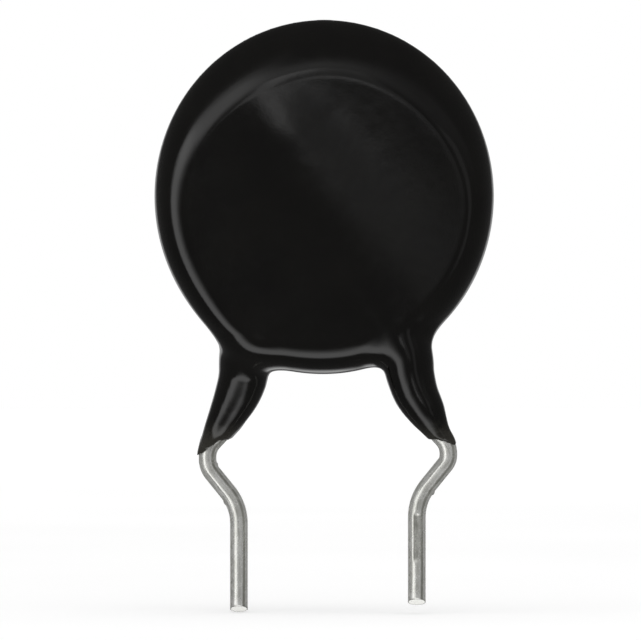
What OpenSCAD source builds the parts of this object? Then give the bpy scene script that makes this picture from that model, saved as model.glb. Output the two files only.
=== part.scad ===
// Metal oxide varistor: a ceramic disc with silvered faces, two formed leads soldered to it,
// and a dipped epoxy coating that runs down the leads as two legs.
// The board it is soldered to lies at z = 0. The origin is midway between the two pins.
// +X is to the right, +Z is up, and -Y is the front, the face that the right lead lies on.

/* [Ceramic disc] */
// Diameter of the ceramic disc
disc_d = 14; // [10:0.5:20]
// Thickness of the ceramic disc
disc_t = 1.6; // [1:0.1:4]
// Bevel round both edges of the disc
disc_bevel = 0.15; // [0.05:0.05:0.3]
// How far the disc's centre stands to the right of the middle of the pins
disc_side = -0.15; // [-0.4:0.01:0.4]

/* [Electrodes and solder] */
// Diameter of the silver printed on each face
electrode_d = 12; // [8:0.5:13]
// Thickness of the silver
electrode_t = 0.03; // [0.02:0.01:0.08]
// Solder left between a lead and the silver
solder_film = 0.02; // [0.01:0.01:0.05]
// Width of the solder where it meets the silver
solder_w = 2.4; // [1.6:0.1:3.5]
// Height of the solder beside the lead
solder_h = 0.58; // [0.4:0.02:0.7]
// Height of the solder's outer edge
solder_edge = 0.05; // [0.03:0.01:0.1]
// How far the solder runs past the end of a lead
solder_past = 0.7; // [0.3:0.1:1.5]

/* [Leads] */
// Diameter of the tinned copper wire
wire_d = 0.78; // [0.6:0.02:1]
// Distance between the two pins
lead_pitch = 7.8; // [7:0.1:10]
// Length of the left pin below the board's top, at its longest side
left_drop = 3.72; // [2.5:0.02:6]
// Length of the right pin below the board's top, at its longest side
right_drop = 3.44; // [2.5:0.02:6]
// How much higher the right lead's kink sits
right_lift = 0.2; // [0:0.02:0.4]
// Shear angle of a pin's end
tip_shear = 20; // [0:1:30]
// How far the stand-off kink reaches outside the line of its pin
kink_out = 1.38; // [0.8:0.02:1.8]
// Height of the kink above the board
kink_up = 2.92; // [2.6:0.02:3.6]
// Length of the straight stretch at the kink's outermost point
kink_flat = 0.1; // [0.06:0.02:0.4]
// Radius of the left lead's kink, on the wire's axis
left_kink_r = 0.98; // [0.6:0.02:1.2]
// Radius of the right lead's kink below its outermost point, where it is bent more sharply
right_low_r = 0.6; // [0.6:0.02:1.2]
// Radius of the right lead's kink above that point
right_high_r = 0.92; // [0.6:0.02:1.2]
// Angle of the slope below the kink, from the vertical
lower_slope = 39; // [30:0.5:45]
// Radius of the bend between the pin and that slope
lower_bend_r = 2.2; // [1.2:0.1:2.6]
// Angle of the slope above the kink, from the vertical
upper_slope = 43; // [35:0.5:48]
// Radius of the bend above that slope
upper_bend_r = 1.6; // [1:0.1:2]
// How much the wire's radius swells in a bend
bend_swell = 0.003; // [0.003:0.001:0.01]
// Lean of the lead where it enters the coating, towards the middle
rise_lean = 1.5; // [1:0.5:4]
// Lean of the lead where it lies on the disc, towards the middle
lay_lean = 33; // [20:1:36]
// Radius of the bend between those two
lay_bend_r = 2.6; // [2:0.1:4]
// How far below the disc's centre that bend starts
lay_below = 6.7; // [5.6:0.1:7]
// Length of the straight run that is soldered to the disc
lay_len = 9.6; // [6:0.2:10]

/* [Coating on the disc] */
// Height of the coating above the board, between the legs
coat_up = 6.62; // [6:0.02:8]
// Coating over the silver on each face
face_t = 0.76; // [0.7:0.02:1.2]
// Coating over the disc's edge at its two sides
side_t = 0.43; // [0.35:0.01:0.8]
// Coating over the top edge, where it ran together while it cured
top_t = 1.16; // [0.4:0.02:1.6]
// Coating over the bottom edge
bottom_t = 0.38; // [0.35:0.01:0.8]
// How far inside the disc's edge the rounded rim starts
rim_in = 0.8; // [0.6:0.05:1.2]
// Sharpness of the knee from which the faces slope down to the top edge, sharper when smaller
knee = 0.15; // [0.1:0.05:0.3]
// Fullness of the top edge, where 2 is an ellipse
nose = 1.6; // [1.4:0.1:2]
// How much further the front face reaches out above the left leg
shoulder = 0.5; // [0:0.05:0.6]
// Angle from the top to the middle of that shoulder
shoulder_at = 149; // [145:1:155]
// Half angle of that shoulder
shoulder_wide = 17; // [14:1:20]
// Coating over a lead where it lies on the disc
ridge_t = 0.14; // [0.1:0.02:0.4]
// Half width of the swelling over a lead, at the leg
ridge_low = 0.9; // [0.8:0.1:1.6]
// Half width of the swelling over a lead, at the lead's end
ridge_high = 2; // [1:0.1:3]

/* [Coating on the legs] */
// Width over which two forms of the dip run together
melt = 1; // [0.7:0.05:1.2]
// Coating round a lead where its leg meets the disc
leg_root_t = 0.68; // [0.6:0.02:0.9]
// Coating round a lead halfway down its leg
leg_mid_t = 0.5; // [0.4:0.02:0.7]
// Coating round the left lead at the leg's end
left_end_t = 0.14; // [0.1:0.01:0.3]
// Coating round the right lead at the leg's end
right_end_t = 0.1; // [0.1:0.01:0.3]
// How far the web over the left leg's root stands in front of the leg's middle
web_front = 0.2; // [0:0.05:0.4]
// How far the web's upper end is nearer to the middle than the leg
web_in = 0.5; // [0.2:0.1:0.6]
// How far a leg's middle stands inside the line of its pin where it meets the disc
root_in = 0.2; // [0:0.02:0.3]
// How far the same place lies from the lead's axis, towards the middle of the disc's thickness
root_deep = 0.45; // [0:0.05:0.5]
// How far the coating's middle stands outside the lead's axis halfway down the leg
mid_out = 0.33; // [0:0.01:0.4]
// How much nearer to the middle the right leg is there
right_in = 0.11; // [0:0.01:0.2]
// Height of the left leg's end above the kink
left_end_up = 0.5; // [0.4:0.02:0.9]
// Height of the right leg's end above its kink
right_end_up = 0.44; // [0.4:0.02:0.9]
// Slope of the cut at a leg's end, lower on the outside
leg_cut = 18; // [0:1:25]

/* [Hidden] */

COAT = "#15161a";
CERAMIC = "#4a4f4c";
SILVER = "#c9c9c4";
SOLDER = "#a9abae";
TINNED = "#b8b7b0";
$fn = 64;
// Overshoot of a cutting body past the face that it cuts
past = 1;
// How far a straight stretch of lead reaches into the bend beside it
lap = 0.05;

wire_r = wire_d / 2;
disc_r = disc_d / 2;
disc_z = coat_up + bottom_t + disc_r;
pin_x = lead_pitch / 2;
// Distance of a lead's axis from the middle of the disc's thickness
lead_y = disc_t / 2 + electrode_t + solder_film + wire_r;

// Each lead as [side of the middle, height of its kink, kink's radius below, kink's radius above]
LEFT = [-1, kink_up, left_kink_r, left_kink_r];
RIGHT = [1, kink_up + right_lift, right_low_r, right_high_r];

// Lead path. Points on its axis are [out, up], with out measured from the middle of the pins
kink_x = pin_x + kink_out;
function kink_low(lead) =
    [kink_x - lead[2] * (1 - cos(lower_slope)), lead[1] - kink_flat / 2 - lead[2] * sin(lower_slope)];
function kink_high(lead) =
    [kink_x - lead[3] * (1 - cos(upper_slope)), lead[1] + kink_flat / 2 + lead[3] * sin(upper_slope)];
// Lengths of the straight stretches below and above the kink
function lower_len(lead) =
    (kink_low(lead)[0] - pin_x - lower_bend_r * (1 - cos(lower_slope))) / sin(lower_slope);
function upper_len(lead) =
    (kink_high(lead)[0] - pin_x - upper_bend_r * (cos(rise_lean) - cos(upper_slope)))
        / sin(upper_slope);
function pin_top(lead) =
    kink_low(lead)[1] - lower_len(lead) * cos(lower_slope) - lower_bend_r * sin(lower_slope);
function upper_foot(lead) =
    kink_high(lead) + upper_len(lead) * [-sin(upper_slope), cos(upper_slope)];
function upper_c(lead) = upper_foot(lead) + upper_bend_r * [cos(upper_slope), sin(upper_slope)];
// The upper bend ends on the pin's line, leaning by rise_lean
function rise_foot(lead) = upper_c(lead)[1] - upper_bend_r * sin(rise_lean);
// Height at which the bend onto the disc starts
lay_z = disc_z - lay_below;
function rise_len(lead) = (lay_z - rise_foot(lead)) / cos(rise_lean);
// The soldered run, from its foot to the lead's end
function run_foot(lead) =
    [pin_x - rise_len(lead) * sin(rise_lean), lay_z]
        + lay_bend_r * [cos(lay_lean) - cos(rise_lean), sin(lay_lean) - sin(rise_lean)];
function run(lead) =
    let (foot = run_foot(lead))
    [foot, foot + lay_len * [-sin(lay_lean), cos(lay_lean)]];
// Where the axis is at a height from the kink up to the disc
function axis_out(lead, up) =
    let (b = upper_c(lead))
    up < lead[1] + kink_flat / 2 ? kink_x
    : up < kink_high(lead)[1]
        ? kink_x - lead[3] + sqrt(pow(lead[3], 2) - pow(up - lead[1] - kink_flat / 2, 2))
    : up < upper_foot(lead)[1] ? kink_high(lead)[0] - (up - kink_high(lead)[1]) * tan(upper_slope)
    : up < rise_foot(lead) ? b[0] - sqrt(pow(upper_bend_r, 2) - pow(b[1] - up, 2))
    : pin_x - (up - rise_foot(lead)) * tan(rise_lean);

// Skin of the dip coating, as a field that is negative inside, zero on the surface
// and about the distance to it nearby
plateau_r = disc_r - rim_in;
face_y = disc_t / 2 + electrode_t + face_t;
ridge_up = lead_y + wire_r + ridge_t - face_y;

// Two forms run together over the width w
function blend(a, b, w) =
    let (h = max(w - abs(a - b), 0) / w)
    min(a, b) - h * h * w / 4;

// Rises smoothly from 0 at a to 1 at b
function ease(a, b, v) =
    let (t = min(1, max(0, (v - a) / (b - a))))
    t * t * (3 - 2 * t);

// How far along the line from a to b the point nearest to p is, from 0 to 1
function along(p, a, b) = min(1, max(0, ((p - a) * (b - a)) / ((b - a) * (b - a))));

// Round bead whose axis runs from a to b and whose radius goes from ra to rb
function bead(p, a, b, ra, rb) =
    let (t = along(p, a, b))
    norm(p - a - t * (b - a)) - ra - t * (rb - ra);

// How much a face swells over its lead, at a point [out, up]
left_run = run(LEFT);
right_run = run(RIGHT);
function swelling(p, line) =
    let (
        leg = [pin_x, coat_up],
        t = along(p, line[0], line[1]),
        low = norm(p - leg - along(p, leg, line[0]) * (line[0] - leg)) / ridge_low,
        high = norm(p - line[0] - t * (line[1] - line[0]))
            / (ridge_low + t * (ridge_high - ridge_low))
    )
    ridge_up * exp(-pow(min(low, high), 2));

// Coated disc: nearly flat faces and a rim that is elliptic at the bottom and at the sides.
// Towards the top it bends over a knee and slopes down to a nose
shoulder_way = [-sin(shoulder_at), cos(shoulder_at)];
shoulder_fall = 2 / pow(shoulder_wide * PI / 180, 2);
// Share of the shoulder's reach by which the rim itself moves out
shoulder_edge = 0.4;
function puck(p) =
    let (
        half = face_y + (p[1] < 0 ? swelling([p[0], p[2]], right_run)
            : swelling([-p[0], p[2]], left_run)),
        q = [p[0] - disc_side, p[2] - disc_z],
        r = norm(q),
        s = r > 0 ? q[1] / r : 0,
        lobe = r > 0 ? shoulder * exp((q * shoulder_way / r - 1) * shoulder_fall)
            * ease(-face_y / 2, face_y / 2, -p[1]) : 0,
        flat_r = plateau_r + lobe,
        rim = disc_r + side_t + s * (top_t - bottom_t) / 2
            + s * s * ((top_t + bottom_t) / 2 - side_t) + lobe * shoulder_edge,
        u = max(0, r - flat_r) / (rim - flat_r),
        top = ease(-0.1, 1, s),
        slope = (norm([u, knee]) - knee) / (norm([1, knee]) - knee)
    )
    (sqrt(u * u + top * (slope - u * u) + pow(abs(p[1]) / half, 2 + top * (nose - 2))) - 1)
        * half;

// Middle of a leg's coating inside the disc, where it leaves the disc, halfway down and at
// its end, which is end_up above the kink. shift moves its upper part towards the middle
leg_rise = 1.3;
function leg_line(lead, shift, end_up) =
    let (
        side = lead[0],
        root_out = pin_x - root_in - shift,
        end_z = lead[1] + end_up,
        mid_z = (coat_up + end_z) / 2
    )
    [
        [side * root_out, -side * (lead_y - root_deep), coat_up + leg_rise],
        [side * root_out, -side * (lead_y - root_deep), coat_up],
        [side * (axis_out(lead, mid_z) + mid_out - shift), -side * (lead_y - root_deep / 3), mid_z],
        [side * axis_out(lead, end_z), -side * lead_y, end_z]
    ];
left_leg = leg_line(LEFT, 0, left_end_up);
right_leg = leg_line(RIGHT, right_in, right_end_up);

// One leg, as beads along that line
function leg(p, line, end_t) =
    min(
        bead(p, line[0], line[1], wire_r + leg_root_t, wire_r + leg_root_t),
        bead(p, line[1], line[2], wire_r + leg_root_t, wire_r + leg_mid_t),
        bead(p, line[2], line[3], wire_r + leg_mid_t, wire_r + end_t)
    );

// Web that fills the front between the disc and the left leg, as a bead
web_root = [left_leg[0][0] + web_in, -web_front, coat_up + 1.5 * leg_rise];
web_foot = [left_leg[1][0], left_leg[1][1] - web_front, coat_up + leg_rise / 3];
function web(p) = bead(p, web_root, web_foot, face_y - web_in / 2, wire_r + leg_root_t - 0.1);

// The forms run together less where a leg's root lies on a face, so that it stays flush there
function skin_at(p) =
    let (
        on_face = ease(face_y / 2, face_y, abs(p[1])),
        w = melt * (1 - 0.7 * on_face * ease(coat_up + leg_rise / 2, coat_up + 1.5 * leg_rise, p[2])),
        left = min(leg(p, left_leg, left_end_t), web(p))
    )
    blend(blend(puck(p), leg(p, right_leg, right_end_t), w), left, w);

// Spacing of the grid that carries the skin: fine at the legs, medium at the rim, coarse on
// the faces, and deep through the thickness
fine = 0.29;
medium = 0.4;
coarse = 0.7;
deep = 0.27;
// Clear space round the skin
air = 0.45;
skin_x = disc_r + side_t + air;
skin_y = lead_y + wire_r + leg_root_t + air;
skin_foot = kink_up - past;
skin_top = disc_z + disc_r + top_t + air;

function zone(from, to, step) =
    let (n = max(1, round((to - from) / step)))
    [for (i = [0 : n - 1]) from + (to - from) * i / n];

// Surface net over that grid: one vertex in each cell that the surface crosses, and one quad
// round each grid edge that it crosses
module skin() {
    leg_in = pin_x - wire_r - leg_root_t - air;
    leg_out = kink_x + wire_r + air;
    // No plane of the grid lies on a flat face of the disc
    inner = face_y - deep / 2;
    outer = face_y + deep / 2;
    xs = concat(zone(disc_side - skin_x, -leg_out, medium), zone(-leg_out, -leg_in, fine),
                zone(-leg_in, leg_in, coarse), zone(leg_in, leg_out, fine),
                zone(leg_out, disc_side + skin_x, medium), [disc_side + skin_x]);
    ys = concat(zone(-skin_y, -outer, deep), [-outer], zone(-inner, inner, deep), [inner],
                zone(outer, skin_y, deep), [skin_y]);
    zs = concat(zone(skin_foot, coat_up, fine),
                zone(coat_up, coat_up + 2 * leg_rise, medium),
                zone(coat_up + 2 * leg_rise, disc_z + plateau_r - coarse, coarse),
                zone(disc_z + plateau_r - coarse, skin_top, medium), [skin_top]);
    nx = len(xs);
    ny = len(ys);
    nz = len(zs);
    grid = [for (z = zs) [for (y = ys) [for (x = xs) skin_at([x, y, z])]]];

    // A grid point counts as inside where a neighbour along each axis does too, so that no
    // sheet thinner than the grid makes the net touch itself
    function held(g, i, j, k) =
        g[k][j][i]
            && (g[k][j][i - 1] || g[k][j][i + 1])
            && (g[k][j - 1][i] || g[k][j + 1][i])
            && (g[k - 1][j][i] || g[k + 1][j][i]);
    function thick(g, times) =
        times == 0 ? g
        : thick([for (k = [0 : nz - 1]) [for (j = [0 : ny - 1])
            [for (i = [0 : nx - 1]) held(g, i, j, k)]]], times - 1);
    solid = thick([for (plane = grid) [for (row = plane) [for (f = row) f < 0]]], 2);

    function inside(c) = solid[c[2]][c[1]][c[0]];
    function value(c) = grid[c[2]][c[1]][c[0]];
    function point(c) = [xs[c[0]], ys[c[1]], zs[c[2]]];
    corners = [for (k = [0, 1]) for (j = [0, 1]) for (i = [0, 1]) [i, j, k]];
    // The twelve edges of a cell, as pairs of its corners
    edges = [for (a = corners) for (b = corners)
        if (norm(b - a) == 1 && (b - a) * [1, 1, 1] > 0) [a, b]];
    cells = [for (k = [0 : nz - 2]) for (j = [0 : ny - 2]) for (i = [0 : nx - 2])
        let (n = len([for (c = corners) if (inside([i, j, k] + c)) 1]))
        n > 0 && n < 8 ? [i, j, k] : false];
    // Number of each cell's vertex: how many crossed cells come before it
    numbers = [for (c = 0, n = 0; c < len(cells); n = n + (cells[c] ? 1 : 0), c = c + 1) n];
    function number(c) = numbers[c[0] + (nx - 1) * (c[1] + (ny - 1) * c[2])];

    // Moves a point onto the surface along the field's slope
    function pulled(p, times) =
        times == 0 ? p
        : let (
            f = skin_at(p),
            e = 0.01,
            g = [skin_at(p + [e, 0, 0]) - f, skin_at(p + [0, e, 0]) - f,
                 skin_at(p + [0, 0, e]) - f] / e
        )
        pulled(p - g * f / (g * g), times - 1);
    // Starts at the mean of the places where the cell's edges cross the surface
    function vertex(cell) =
        let (hits = [for (e = edges)
            let (a = cell + e[0], b = cell + e[1], fa = abs(value(a)), fb = abs(value(b)))
            if (inside(a) != inside(b)) point(a) + (point(b) - point(a)) * fa / (fa + fb)])
        pulled([for (h = hits) 1] * hits / len(hits), 2);
    vertices = [for (c = cells) if (c) vertex(c)];

    // Two triangles across the shorter diagonal of a quad
    function halves(q, turned) =
        let (n = turned ? [q[3], q[2], q[1], q[0]] : q, v = [for (i = n) vertices[i]])
        norm(v[2] - v[0]) <= norm(v[3] - v[1])
            ? [[n[0], n[1], n[2]], [n[0], n[2], n[3]]]
            : [[n[1], n[2], n[3]], [n[1], n[3], n[0]]];
    // Quads round the grid edges that run along u, where v and w are the next two axes in turn
    function quads(u, v, w) =
        let (from = v + w, to = [nx, ny, nz] - [1, 1, 1] - u)
        [for (k = [from[2] : to[2]]) for (j = [from[1] : to[1]]) for (i = [from[0] : to[0]])
            let (c = [i, j, k])
            if (inside(c) != inside(c + u))
            each halves([number(c - v), number(c), number(c - w), number(c - v - w)], !inside(c))];

    polyhedron(
        points = vertices,
        faces = concat(quads([1, 0, 0], [0, 1, 0], [0, 0, 1]),
                       quads([0, 1, 0], [0, 0, 1], [1, 0, 0]),
                       quads([0, 0, 1], [1, 0, 0], [0, 1, 0])),
        convexity = 8
    );
}

// Lead, as a chain of straight stretches and bends that starts at the pin's end and climbs
module straight(length) {
    translate([0, 0, -lap]) cylinder(h = length + 2 * lap, d = wire_d);
    translate([0, 0, length]) children();
}

// Bend in the plane of the two pins, outwards for a positive angle
module bend(radius, angle) {
    turn = abs(angle);
    mirror([angle < 0 ? 1 : 0, 0, 0])
        rotate([90, 0, 0])
            translate([radius, 0, 0])
                rotate([0, 0, 180 - turn])
                    rotate_extrude(angle = turn) translate([radius, 0]) circle(r = wire_r + bend_swell);
    translate([sign(angle) * radius * (1 - cos(turn)), 0, radius * sin(turn)])
        rotate([0, angle, 0]) children();
}

// Tilted cut that leaves the pin's end lower at the rear
module pin_shear() {
    translate([0, wire_r, 0])
        rotate([-tip_shear, 0, 0])
            translate([-wire_d, -2 * wire_d, -wire_d]) cube([2 * wire_d, 3 * wire_d, wire_d]);
}

// One lead, whose pin reaches drop below the board
module lead_wire(lead, drop) {
    mirror([lead[0] < 0 ? 1 : 0, 0, 0])
        translate([pin_x, -lead[0] * lead_y, -drop])
            difference() {
                straight(drop + pin_top(lead))
                bend(lower_bend_r, lower_slope)
                straight(lower_len(lead))
                bend(lead[2], -lower_slope)
                straight(kink_flat)
                bend(lead[3], -upper_slope)
                straight(upper_len(lead))
                bend(upper_bend_r, upper_slope - rise_lean)
                straight(rise_len(lead))
                bend(lay_bend_r, rise_lean - lay_lean)
                straight(lay_len);
                pin_shear();
            }
}

module left_lead() {
    color(TINNED) lead_wire(LEFT, left_drop);
}

module right_lead() {
    color(TINNED) lead_wire(RIGHT, right_drop);
}

// Lies on the middle plane of the disc, with its axis towards the rear
module on_disc() {
    translate([disc_side, 0, disc_z]) rotate([-90, 0, 0]) children();
}

module ceramic_disc() {
    color(CERAMIC)
        on_disc()
            rotate_extrude()
                polygon([
                    [0, -disc_t / 2],
                    [disc_r - disc_bevel, -disc_t / 2],
                    [disc_r, -disc_t / 2 + disc_bevel],
                    [disc_r, disc_t / 2 - disc_bevel],
                    [disc_r - disc_bevel, disc_t / 2],
                    [0, disc_t / 2]
                ]);
}

// Silver on the rear face, +1, or the front face, -1
module electrode(face) {
    color(SILVER)
        mirror([0, face < 0 ? 1 : 0, 0])
            on_disc() translate([0, 0, disc_t / 2]) cylinder(h = electrode_t, d = electrode_d);
}

module front_electrode() {
    electrode(-1);
}

module rear_electrode() {
    electrode(1);
}

// Section of the solder across the lead: hollow flanks that rise to the lead's sides
solder_top = wire_r + solder_edge;
// Radius and height of the circle that hollows a flank from its foot to its top
flank_x = solder_w / 2;
flank_r = (pow(flank_x - solder_top, 2) + pow(solder_h - solder_edge, 2))
    / (2 * (solder_h - solder_edge));
module solder_section() {
    difference() {
        polygon([
            [-flank_x, 0], [flank_x, 0], [flank_x, solder_edge], [solder_top, solder_h],
            [-solder_top, solder_h], [-flank_x, solder_edge]
        ]);
        for (s = [-1, 1]) translate([s * flank_x, solder_edge + flank_r]) circle(r = flank_r);
    }
}

// Solder with no hole for its lead yet: the section along the run, with round ends
module solder_blank(lead) {
    foot = run_foot(lead);
    front = lead[0] > 0;
    // Where the run first lies well over the silver
    start = solder_w / 2;
    length = lay_len + solder_past - start;
    mirror([front ? 0 : 1, 0, 0])
        translate([foot[0], (front ? -1 : 1) * (disc_t / 2 + electrode_t), foot[1]])
            rotate([0, -lay_lean, 0])
                mirror([0, front ? 1 : 0, 0])
                    intersection() {
                        translate([0, 0, start]) linear_extrude(length) solder_section();
                        rotate([-90, 0, 0]) linear_extrude(solder_h) union() {
                            translate([-flank_x, -start - length + flank_x])
                                square([solder_w, length - solder_w]);
                            for (z = [start + flank_x, start + length - flank_x])
                                translate([0, -z]) circle(d = solder_w);
                        }
                    }
}

module front_solder() {
    color(SOLDER)
        difference() {
            solder_blank(RIGHT);
            right_lead();
        }
}

module rear_solder() {
    color(SOLDER)
        difference() {
            solder_blank(LEFT);
            left_lead();
        }
}

// Everything below the cut at a leg's end
module below_leg(line) {
    end = line[3];
    side = sign(end[0]);
    translate([end[0], 0, end[2]])
        rotate([0, side * leg_cut, 0])
            translate([-lead_pitch / 4, -skin_y, -2 * past])
                cube([lead_pitch / 2, 2 * skin_y, 2 * past]);
}

module epoxy_coating() {
    color(COAT)
        difference() {
            skin();
            below_leg(right_leg);
            below_leg(left_leg);
            ceramic_disc();
            // Both electrodes in one cut, so that their rooms open into the disc's
            on_disc() cylinder(h = disc_t + 2 * electrode_t, d = electrode_d, center = true);
            solder_blank(RIGHT);
            solder_blank(LEFT);
            right_lead();
            left_lead();
        }
}

epoxy_coating();
ceramic_disc();
front_electrode();
rear_electrode();
front_solder();
rear_solder();
left_lead();
right_lead();
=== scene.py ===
"""Looks of a dipped metal oxide varistor: its epoxy skin, its tinned leads and what the skin hides.

Every size is in millimetres until a mesh is made, where MM turns it into Blender's metres.
X runs to the right, Z up, and -Y is the front. The board's top face lies at z = 0.
"""

import logging
import math
from collections.abc import Sequence
from dataclasses import dataclass, field
from enum import Enum

import bpy
import numpy as np
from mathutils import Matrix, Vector


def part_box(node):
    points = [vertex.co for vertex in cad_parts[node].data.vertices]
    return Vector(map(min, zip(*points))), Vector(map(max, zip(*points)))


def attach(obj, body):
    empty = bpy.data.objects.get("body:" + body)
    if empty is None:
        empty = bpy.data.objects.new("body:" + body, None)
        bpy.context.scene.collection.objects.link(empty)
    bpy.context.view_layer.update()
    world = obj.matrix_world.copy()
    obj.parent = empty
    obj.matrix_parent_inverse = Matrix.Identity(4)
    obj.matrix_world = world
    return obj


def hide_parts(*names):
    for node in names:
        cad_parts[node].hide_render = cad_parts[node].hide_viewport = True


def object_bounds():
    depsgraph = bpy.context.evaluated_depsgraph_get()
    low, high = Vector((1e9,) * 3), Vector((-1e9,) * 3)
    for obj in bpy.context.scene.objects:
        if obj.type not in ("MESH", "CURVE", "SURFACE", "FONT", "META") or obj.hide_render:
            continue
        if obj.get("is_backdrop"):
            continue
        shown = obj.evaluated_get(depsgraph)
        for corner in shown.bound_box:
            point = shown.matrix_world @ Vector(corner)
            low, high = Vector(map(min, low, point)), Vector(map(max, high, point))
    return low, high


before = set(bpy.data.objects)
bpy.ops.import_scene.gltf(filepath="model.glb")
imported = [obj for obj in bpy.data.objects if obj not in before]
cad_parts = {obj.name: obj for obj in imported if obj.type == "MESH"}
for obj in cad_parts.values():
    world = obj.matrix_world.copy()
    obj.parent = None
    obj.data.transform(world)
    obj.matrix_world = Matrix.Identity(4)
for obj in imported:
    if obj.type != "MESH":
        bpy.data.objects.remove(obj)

MM = 0.001
PHOTO_WIDTH_PX = 641
PHOTO_HEIGHT_PX = 640
ROOT_BODY = "root"
LOG = logging.getLogger("varistor")

Point = tuple[float, float, float]
Color = tuple[float, float, float]
Span = tuple[float, float]
Station = tuple[float, float, float, float]
Socket = bpy.types.NodeSocket

NOISE_SPAN: Span = (0.3, 0.7)
COAT_OVER_SILVER = 0.76
LEFT_TIP_BELOW_CAD = 0.14
RIGHT_TIP_BELOW_CAD = 0.04

# Places (x, y, z) and radii along each leg's coating, given from the disc down. The left
# leg has two runs: one comes from the disc's rear face, and the other from its middle.
LEFT_REAR = (
    (-3.68, 0.86, 7.9, 1.0),
    (-3.68, 0.84, 6.62, 1.0),
    (-3.97, 0.95, 5.7, 0.89),
    (-4.39, 1.05, 4.85, 0.73),
    (-4.8, 1.12, 4.15, 0.56),
    (-5.08, 1.2, 3.65, 0.44),
)
LEFT_FRONT = (
    (-3.3, -0.05, 8.3, 1.24),
    (-3.45, 0.12, 7.7, 1.17),
    (-3.62, 0.33, 7.2, 1.08),
    (-3.69, 0.47, 6.75, 0.99),
    (-3.77, 0.55, 6.3, 0.95),
    (-3.97, 0.62, 5.7, 0.9),
    (-4.37, 0.62, 4.9, 0.75),
    (-4.78, 0.61, 4.2, 0.59),
    (-5.08, 0.78, 3.65, 0.42),
)
RIGHT_LEG = (
    (3.0, -0.1, 10.2, 0.9),
    (3.1, -0.38, 9.2, 1.05),
    (3.25, -0.55, 8.4, 1.13),
    (3.4, -0.65, 7.8, 1.14),
    (3.53, -0.73, 7.2, 1.11),
    (3.62, -0.77, 6.6, 1.06),
    (3.86, -0.9, 5.8, 0.98),
    (4.25, -1.08, 5.1, 0.85),
    (4.55, -1.18, 4.6, 0.67),
    (4.85, -1.22, 4.1, 0.5),
    (5.05, -1.24, 3.75, 0.43),
)


class Side(Enum):
    """The two leads: the left one lies on the rear face, the right one on the front face."""

    LEFT = -1
    RIGHT = 1


def smoothstep(low: float, high: float, value: np.ndarray) -> np.ndarray:
    """Rises smoothly from 0 at low to 1 at high.

    Args:
        low: Value at which the step starts.
        high: Value at which it is complete.
        value: Values to look up.

    Returns:
        The step's height at each value, from 0 to 1.
    """
    t = np.clip((value - low) / (high - low), 0.0, 1.0)
    return t * t * (3.0 - 2.0 * t)


def melted(a: np.ndarray, b: np.ndarray, width: float | np.ndarray) -> np.ndarray:
    """Joins two fields into one whose surfaces melt into each other.

    Args:
        a: First field.
        b: Second field.
        width: Difference between the fields below which they melt.

    Returns:
        The smaller of the two, and a little less where they are about the same.
    """
    soft = np.maximum(width - np.abs(a - b), 0.0) / width
    return np.minimum(a, b) - soft * soft * width / 4


def make_mesh(name: str, vertices: np.ndarray, faces: Sequence[Sequence[int]]) -> bpy.types.Object:
    """Makes a smooth-shaded mesh object from points in millimetres.

    Args:
        name: Name of the object and of its mesh.
        vertices: Points in millimetres, one row each.
        faces: Corner numbers of each face.

    Returns:
        The new object, linked to the scene.
    """
    mesh = bpy.data.meshes.new(name)
    mesh.from_pydata((np.asarray(vertices) * MM).tolist(), [], [list(map(int, f)) for f in faces])
    mesh.validate()
    mesh.shade_smooth()
    mesh.update()
    made = bpy.data.objects.new(name, mesh)
    bpy.context.scene.collection.objects.link(made)
    return made


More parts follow.
